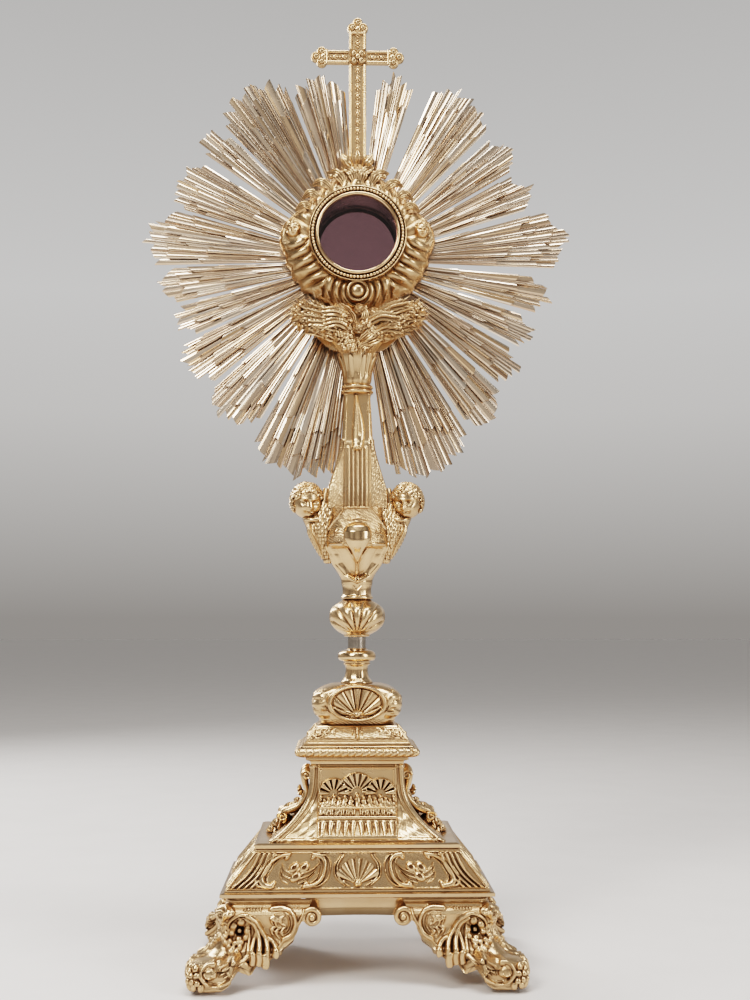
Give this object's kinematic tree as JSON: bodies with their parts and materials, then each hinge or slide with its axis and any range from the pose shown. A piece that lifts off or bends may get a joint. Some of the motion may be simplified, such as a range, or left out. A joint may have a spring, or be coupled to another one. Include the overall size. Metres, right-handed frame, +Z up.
{
  "type": "monstrance",
  "caption": "Tall altar monstrance: sunburst of cut rays around a round glazed case with a rear door, topped by a cross, on a stem and a sloping base with scroll feet.",
  "frame": {"origin": "middle of the footprint on the surface the feet stand on", "axes": "+Z up along the stem, +X to the right seen from the front, +Y to the rear door"},
  "size_m": [0.3332, 0.166, 0.72],
  "materials": {
    "gilt_brass": "gilt, cast and chased relief",
    "polished_gilt": "polished gilt",
    "screw_brass": "satin",
    "ray_silver": "silver plated brass sheet, bright",
    "ring_silver": "silver plated, satin",
    "tube_silver": "silver plated, polished",
    "case_silver": "silver plated, polished",
    "steel": "machined",
    "clear_glass": "clear, polished"
  },
  "bodies": {
    "stand": {"foot_front_left": "gilt_brass", "foot_front_right": "gilt_brass", "foot_rear_left": "gilt_brass", "foot_rear_right": "gilt_brass", "foot_screws": "screw_brass", "base_frame": "polished_gilt", "long_aprons": "polished_gilt", "side_aprons": "polished_gilt", "lower_panel": "gilt_brass", "middle_ledge": "polished_gilt", "body_shell": "gilt_brass", "plaques": "gilt_brass", "side_scrolls": "gilt_brass", "cornice": "gilt_brass", "cap_cover": "gilt_brass", "cap_dome": "gilt_brass", "cartouches": "gilt_brass", "flared_neck": "gilt_brass", "saucer": "gilt_brass", "spacer_tube": "tube_silver", "shell_knop": "gilt_brass", "upper_neck": "gilt_brass", "urn_knot": "gilt_brass", "cherub_left": "gilt_brass", "cherub_right": "gilt_brass", "shaft": "gilt_brass", "collar_ring": "gilt_brass", "calyx": "gilt_brass", "tie_rod": "steel", "tie_washer": "steel", "tie_nut": "steel", "sheaf_left": "gilt_brass", "sheaf_right": "gilt_brass", "grape_cluster": "gilt_brass", "glory_ring": "ring_silver", "rays_left_1": "ray_silver", "rays_left_2": "ray_silver", "rays_left_3": "ray_silver", "rays_left_4": "ray_silver", "rays_left_5": "ray_silver", "rays_right_1": "ray_silver", "rays_right_2": "ray_silver", "rays_right_3": "ray_silver", "rays_right_4": "ray_silver", "rays_right_5": "ray_silver", "rocaille_frame": "gilt_brass", "luna_tube": "case_silver", "front_bezel": "gilt_brass", "front_glass": "clear_glass", "putto_left": "gilt_brass", "putto_right": "gilt_brass", "cross": "gilt_brass", "glory_rivets": "ring_silver", "case_screws": "screw_brass", "hinge_pin": "steel", "button_screw": "steel"},
    "door": {"door_frame": "case_silver", "rear_glass": "clear_glass"},
    "latch": {"turn_button": "case_silver"}
  },
  "joints": [
    {"name": "door_hinge", "type": "hinge", "parent": "stand", "child": "door", "pos_m": [0.0396, 0.0192, 0.54], "axis": [0, 0, -1], "range_deg": [0, 110]},
    {"name": "latch_turn", "type": "hinge", "parent": "stand", "child": "latch", "pos_m": [-0.041, 0.0224, 0.54], "axis": [0, -1, 0], "range_deg": [0, 90]}
  ]
}
